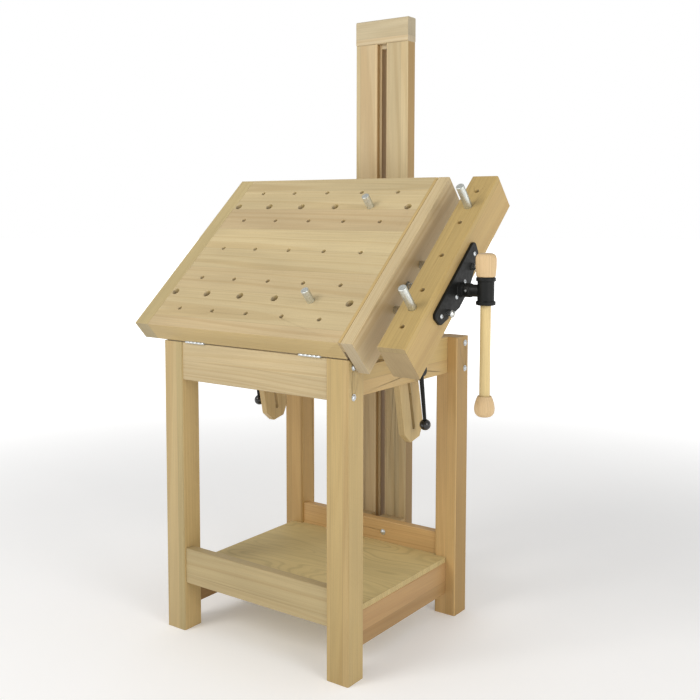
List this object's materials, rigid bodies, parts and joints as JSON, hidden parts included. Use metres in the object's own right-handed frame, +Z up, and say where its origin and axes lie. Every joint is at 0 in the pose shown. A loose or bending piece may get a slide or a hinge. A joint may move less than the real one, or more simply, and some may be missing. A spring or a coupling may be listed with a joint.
{
  "type": "wood carver's workbench",
  "caption": "Wood carver's bench with a tilting drilled top, slotted stays, a side vise with bench dogs, a shelf and a slotted rear mast.",
  "frame": {"origin": "centre of the stand's footprint on the floor", "axes": "+X to the user's right, +Y to the back, +Z up"},
  "size_m": [1.018, 0.7229, 1.8],
  "materials": {
    "beech_frame": "planed and oiled beech, satin",
    "beech_top": "edge-glued beech staves, satin",
    "beech_pale": "plain beech",
    "plywood": "rotary-cut plywood, sanded",
    "handle_beech": "turned, waxed",
    "knob_beech": "turned, waxed",
    "black_casting": "black paint, satin, fine cast texture",
    "black_plastic": "glossy black",
    "bright_steel": "bright drawn steel",
    "zinc_steel": "bright zinc plate"
  },
  "bodies": {
    "stand": {"leg_front_left": "beech_frame", "leg_front_right": "beech_frame", "leg_back_left": "beech_frame", "leg_back_right": "beech_frame", "apron_front": "beech_frame", "apron_back": "beech_frame", "apron_left": "beech_frame", "apron_right": "beech_frame", "stretcher_front": "beech_frame", "stretcher_back": "beech_frame", "stretcher_left": "beech_frame", "stretcher_right": "beech_frame", "shelf": "plywood", "frame_bolts": "zinc_steel", "barrel_nuts": "zinc_steel", "mast_upright_left": "beech_frame", "mast_upright_right": "beech_frame", "mast_head": "beech_frame", "mast_dowels": "beech_pale", "mast_packing_lower": "beech_frame", "mast_packing_upper": "beech_frame", "mast_bolts": "zinc_steel", "hinge_leaves_stand": "zinc_steel", "hinge_pins": "zinc_steel", "hinge_screws_stand": "zinc_steel", "clamp_bolt_left": "zinc_steel", "clamp_bolt_right": "zinc_steel"},
    "top": {"top_panel": "beech_top", "end_board_left": "beech_top", "end_board_right": "beech_top", "panel_strip": "beech_pale", "hinge_leaves_top": "zinc_steel", "hinge_screws_top": "zinc_steel", "pivot_block_left": "beech_frame", "pivot_block_right": "beech_frame", "pivot_bolts": "zinc_steel", "vise_nut_plate": "black_casting", "nut_plate_screws": "zinc_steel"},
    "stay_left": {"stay_left": "beech_frame"},
    "stay_right": {"stay_right": "beech_frame"},
    "lever_left": {"clamp_lever_left": "black_casting", "lever_ball_left": "black_plastic"},
    "lever_right": {"clamp_lever_right": "black_casting", "lever_ball_right": "black_plastic"},
    "jaw": {"jaw_beam": "beech_top", "vise_plate": "black_casting", "plate_screws": "zinc_steel", "guide_rods": "bright_steel", "rod_bridge": "zinc_steel", "rod_nuts": "zinc_steel"},
    "screw": {"vise_screw": "bright_steel", "screw_head": "black_casting", "set_screw": "zinc_steel"},
    "handle": {"handle_rod": "handle_beech", "handle_knob_upper": "knob_beech", "handle_knob_lower": "knob_beech"},
    "dog_jaw_front": {"dog_jaw_front": "bright_steel"},
    "dog_jaw_back": {"dog_jaw_back": "bright_steel"},
    "dog_top_front": {"dog_top_front": "bright_steel"},
    "dog_top_back": {"dog_top_back": "bright_steel"}
  },
  "joints": [
    {"name": "top_tilt", "type": "hinge", "parent": "stand", "child": "top", "pos_m": [0, -0.305, 0.8415], "axis": [1, 0, 0], "range_deg": [-42, 28]},
    {"name": "stay_left_pivot", "type": "hinge", "parent": "top", "child": "stay_left", "pos_m": [-0.254, -0.00035, 1.05997], "axis": [1, 0, 0], "range_deg": [-14.1, 21.1]},
    {"name": "stay_right_pivot", "type": "hinge", "parent": "top", "child": "stay_right", "pos_m": [0.254, -0.00035, 1.05997], "axis": [1, 0, 0], "range_deg": [-14.1, 21.1]},
    {"name": "lever_left_turn", "type": "hinge", "parent": "stand", "child": "lever_left", "pos_m": [-0.3, 0.062, 0.765], "axis": [1, 0, 0], "range_deg": [-75, 60]},
    {"name": "lever_right_turn", "type": "hinge", "parent": "stand", "child": "lever_right", "pos_m": [0.3, 0.062, 0.765], "axis": [1, 0, 0], "range_deg": [-75, 60]},
    {"name": "jaw_slide", "type": "slide", "parent": "top", "child": "jaw", "axis": [1, 0, 0], "range_m": [-0.0661, 0.0661]},
    {"name": "screw_turn", "type": "hinge", "parent": "jaw", "child": "screw", "pos_m": [0.56, -0.09747, 1.01154], "axis": [1, 0, 0], "range_deg": [-3960, 3960]},
    {"name": "handle_slide", "type": "slide", "parent": "screw", "child": "handle", "axis": [0, 0, 1], "range_m": [0, 0.226]},
    {"name": "dog_jaw_front_slide", "type": "slide", "parent": "jaw", "child": "dog_jaw_front", "axis": [0, -0.6691, 0.7431], "range_m": [-0.055, 0.02]},
    {"name": "dog_jaw_back_slide", "type": "slide", "parent": "jaw", "child": "dog_jaw_back", "axis": [0, -0.6691, 0.7431], "range_m": [-0.055, 0.02]},
    {"name": "dog_top_front_slide", "type": "slide", "parent": "top", "child": "dog_top_front", "axis": [0, -0.6691, 0.7431], "range_m": [-0.03, 0.05]},
    {"name": "dog_top_back_slide", "type": "slide", "parent": "top", "child": "dog_top_back", "axis": [0, -0.6691, 0.7431], "range_m": [-0.03, 0.05]}
  ],
  "couplings": [
    {"joint": "stay_left_pivot", "follows": "top_tilt", "ratio": -0.5},
    {"joint": "stay_right_pivot", "follows": "top_tilt", "ratio": -0.5},
    {"joint": "jaw_slide", "follows": "screw_turn", "m_per_rad": 0.00095493}
  ]
}
